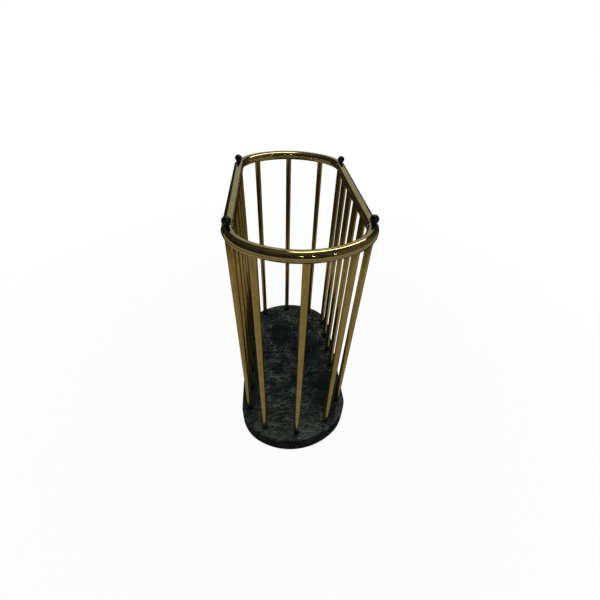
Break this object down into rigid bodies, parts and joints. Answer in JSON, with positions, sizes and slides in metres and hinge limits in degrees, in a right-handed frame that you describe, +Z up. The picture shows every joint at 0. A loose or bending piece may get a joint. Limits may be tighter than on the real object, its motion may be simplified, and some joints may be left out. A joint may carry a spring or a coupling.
{
  "type": "umbrella stand",
  "caption": "Free-standing oblong umbrella stand: upright brass rods between a dark marble slab and a bent brass tube ring with small black ball finials at its corners.",
  "frame": {"origin": "middle of the footprint, on the floor under the foot pads", "axes": "+X along the long axis of the slab and ring, +Y across it, +Z up"},
  "size_m": [0.397, 0.237, 0.5428],
  "materials": {
    "polished_brass": "polished, lightly aged, lacquered",
    "inner_brass": "turned, unpolished",
    "marble": "dark green, nearly black veined marble, polished",
    "finials": "black, high gloss",
    "base_fasteners": "zinc plated",
    "foot_pads": "matt"
  },
  "bodies": {
    "root": {"ball_finial_1": "finials", "ball_finial_2": "finials", "ball_finial_3": "finials", "ball_finial_4": "finials", "base_screws": "base_fasteners", "base_slab": "marble", "base_washers": "base_fasteners", "corner_post_1": "polished_brass", "corner_post_2": "polished_brass", "corner_post_3": "polished_brass", "corner_post_4": "polished_brass", "end_rod_1": "polished_brass", "end_rod_2": "polished_brass", "end_rod_3": "polished_brass", "end_rod_4": "polished_brass", "end_rod_5": "polished_brass", "end_rod_6": "polished_brass", "finial_studs": "inner_brass", "foot_pad_1": "foot_pads", "foot_pad_2": "foot_pads", "foot_pad_3": "foot_pads", "foot_pad_4": "foot_pads", "foot_pad_5": "foot_pads", "foot_pad_6": "foot_pads", "post_top_plugs": "inner_brass", "ring_end_back": "polished_brass", "ring_end_front": "polished_brass", "ring_joint_1": "inner_brass", "ring_joint_2": "inner_brass", "ring_joint_3": "inner_brass", "ring_joint_4": "inner_brass", "ring_side_left": "polished_brass", "ring_side_right": "polished_brass", "rod_bottom_plugs": "inner_brass", "side_rod_1": "polished_brass", "side_rod_2": "polished_brass", "side_rod_3": "polished_brass", "side_rod_4": "polished_brass", "side_rod_5": "polished_brass", "side_rod_6": "polished_brass", "side_rod_7": "polished_brass", "side_rod_8": "polished_brass"}
  },
  "joints": []
}
